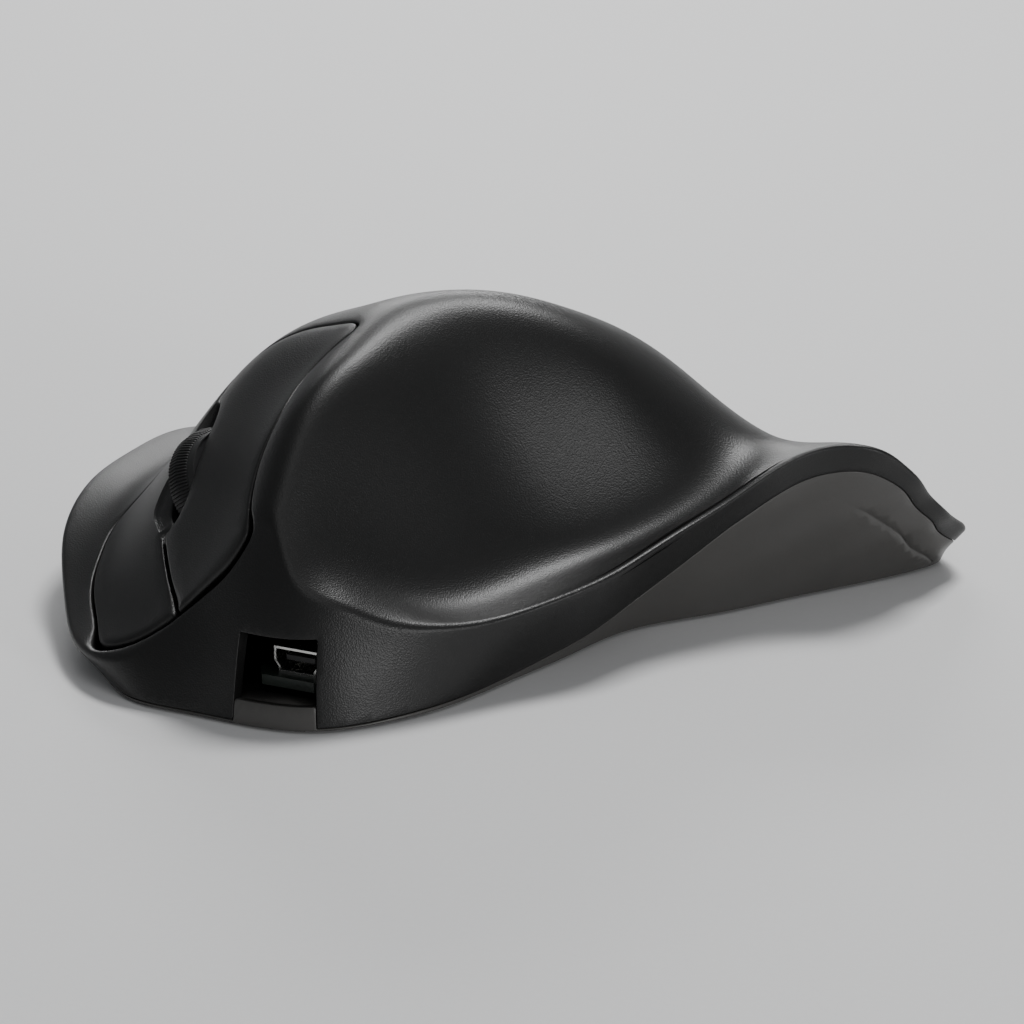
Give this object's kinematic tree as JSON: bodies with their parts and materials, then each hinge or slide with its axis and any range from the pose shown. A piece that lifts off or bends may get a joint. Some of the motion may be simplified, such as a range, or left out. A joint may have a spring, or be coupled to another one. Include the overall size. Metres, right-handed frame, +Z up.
{
  "type": "ergonomic computer mouse",
  "caption": "Sculpted right-hand mouse whose wide flange carries the whole hand, with hinged buttons, a press-and-roll wheel and a charging socket.",
  "frame": {"origin": "centre of the bounding box in plan, on the surface the mouse stands on", "axes": "+Z up, -Y the front where the buttons, wheel and socket are, +X the thumb side"},
  "size_m": [0.1309, 0.1223, 0.0522],
  "materials": {
    "textured_black": "fine textured black moulded shell",
    "satin_grey": "smooth satin dark grey lower shell",
    "inner_plastic": "black inner moulding",
    "plunger": "off-white acetal moulding",
    "rubber": "ribbed soft black rubber",
    "steel": "plain steel pins and screws",
    "socket_metal": "nickel-plated sheet",
    "board": "green solder mask on glass fibre board",
    "lens": "clear moulded optic",
    "battery_sleeve": "plain blue shrink sleeve",
    "glide": "slippery dark glide pads"
  },
  "bodies": {
    "case": {"top_shell": "textured_black", "bottom_shell": "satin_grey", "button_bracket": "inner_plastic", "button_hinge_pin": "steel", "button_board": "board", "left_switch_body": "inner_plastic", "right_switch_body": "inner_plastic", "wheel_switch_body": "inner_plastic", "cradle_pin": "steel", "main_board": "board", "usb_shell": "socket_metal", "usb_tongue": "inner_plastic", "optical_sensor": "inner_plastic", "sensor_lens": "lens", "sensor_led": "lens", "battery": "battery_sleeve", "battery_tray": "inner_plastic", "battery_contacts": "socket_metal", "power_switch_body": "socket_metal", "radio_module": "socket_metal", "case_screws": "steel", "board_screws": "steel", "bracket_screws": "steel", "glide_feet": "glide"},
    "left_press": {"left_button": "textured_black"},
    "right_press": {"right_button": "textured_black"},
    "left_plunger": {"left_switch_plunger": "plunger"},
    "right_plunger": {"right_switch_plunger": "plunger"},
    "cradle": {"wheel_cradle": "plunger", "wheel_axle": "steel"},
    "wheel": {"wheel_hub": "inner_plastic", "wheel_tyre": "rubber"},
    "wheel_plunger": {"wheel_switch_plunger": "plunger"},
    "power_knob": {"power_switch_knob": "inner_plastic"}
  },
  "joints": [
    {"name": "left_button_press", "type": "hinge", "parent": "case", "child": "left_press", "pos_m": [-0.02935, -0.00872, 0.03151], "axis": [0.7807, -0.2383, 0.5777], "range_deg": [0, 0.9], "stiffness_Nm_per_rad": 0.9},
    {"name": "right_button_press", "type": "hinge", "parent": "case", "child": "right_press", "pos_m": [-0.02935, -0.00872, 0.03151], "axis": [0.7807, -0.2383, 0.5777], "range_deg": [0, 0.9], "stiffness_Nm_per_rad": 0.9},
    {"name": "left_plunger_slide", "type": "slide", "parent": "case", "child": "left_plunger", "axis": [0.6134, 0.469, -0.6354], "range_m": [0, 0.0005]},
    {"name": "right_plunger_slide", "type": "slide", "parent": "case", "child": "right_plunger", "axis": [0.6134, 0.469, -0.6354], "range_m": [0, 0.0005]},
    {"name": "wheel_click", "type": "hinge", "parent": "case", "child": "cradle", "pos_m": [-0.03053, -0.01386, 0.03099], "axis": [0.7807, -0.2383, 0.5777], "range_deg": [0, 2], "stiffness_Nm_per_rad": 0.8},
    {"name": "wheel_plunger_slide", "type": "slide", "parent": "case", "child": "wheel_plunger", "axis": [0.6134, 0.469, -0.6354], "range_m": [0, 0.0005]},
    {"name": "wheel_spin", "type": "hinge", "parent": "cradle", "child": "wheel", "pos_m": [-0.02959, -0.02775, 0.024], "axis": [0.7807, -0.2383, 0.5777], "continuous": true},
    {"name": "power_switch_slide", "type": "slide", "parent": "case", "child": "power_knob", "axis": [0, 1, 0], "range_m": [0, 0.0025]}
  ],
  "couplings": [
    {"joint": "left_plunger_slide", "follows": "left_button_press", "m_per_rad": 0.0273},
    {"joint": "right_plunger_slide", "follows": "right_button_press", "m_per_rad": 0.0273},
    {"joint": "wheel_plunger_slide", "follows": "wheel_click", "m_per_rad": 0.013}
  ]
}
